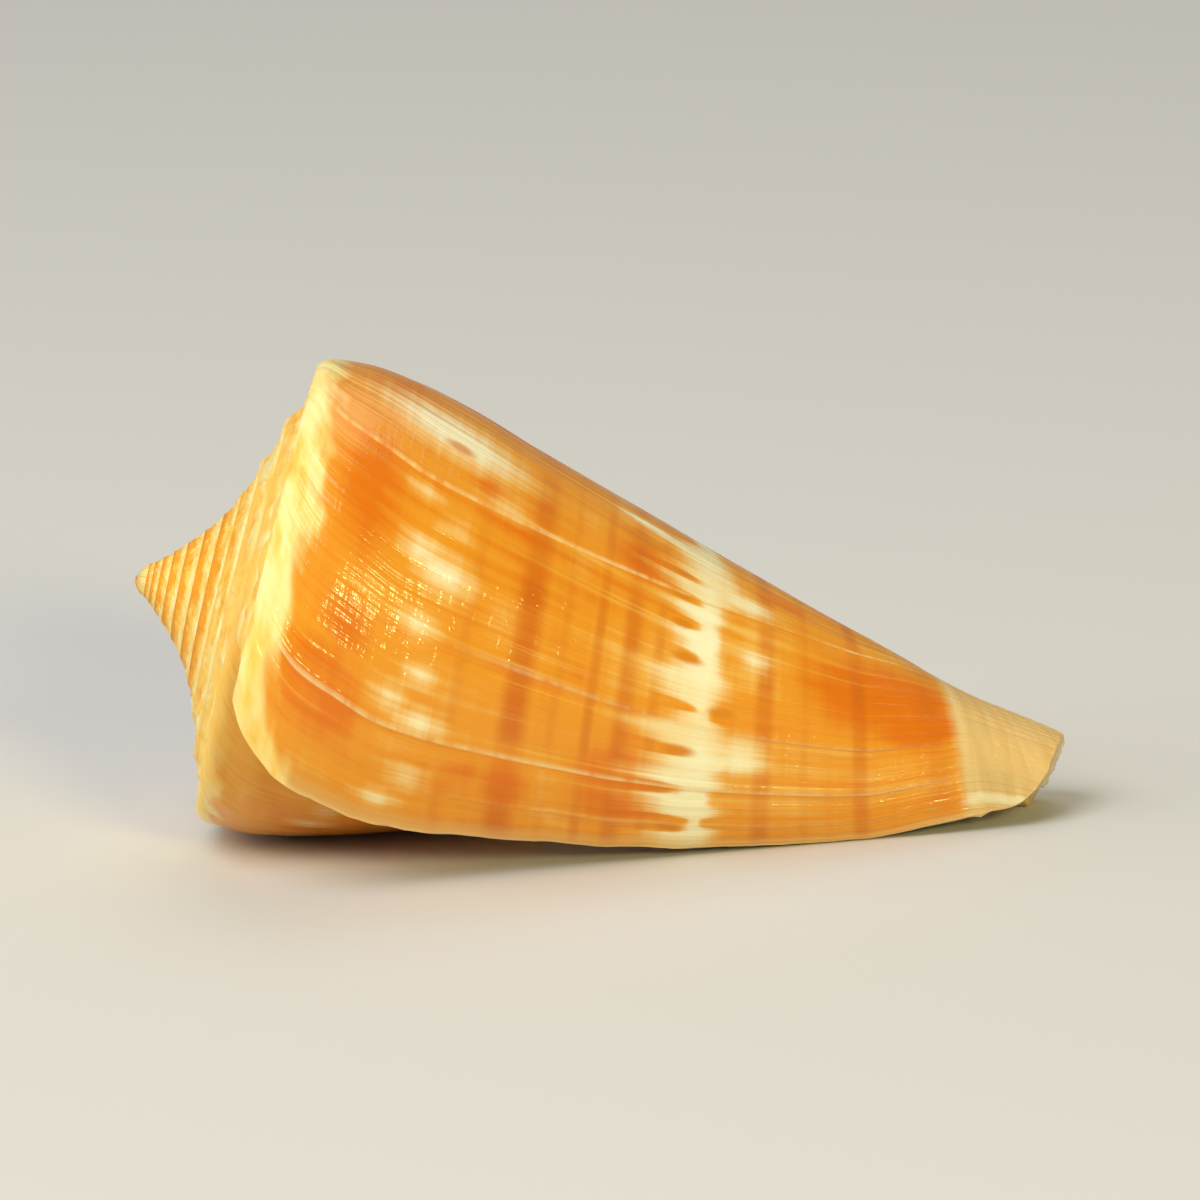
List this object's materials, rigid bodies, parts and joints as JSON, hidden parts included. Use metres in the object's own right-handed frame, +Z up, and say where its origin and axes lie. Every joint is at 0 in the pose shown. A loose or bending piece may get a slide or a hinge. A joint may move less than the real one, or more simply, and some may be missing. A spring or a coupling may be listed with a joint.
{
  "type": "cone shell",
  "caption": "Cone-shaped sea snail shell with a pointed stepped spire, a sharp shoulder and a long slit aperture, lying aperture down.",
  "frame": {"origin": "centre of the bounding box at the floor the shell lies on", "axes": "+X along the coiling axis from the apex to the anterior end, dipping towards the floor; +Z up; the outer lip is on the -Y side"},
  "size_m": [0.0584, 0.0334, 0.0306],
  "materials": {
    "shell": "satin"
  },
  "bodies": {
    "root": {"shell": "shell"}
  },
  "joints": []
}
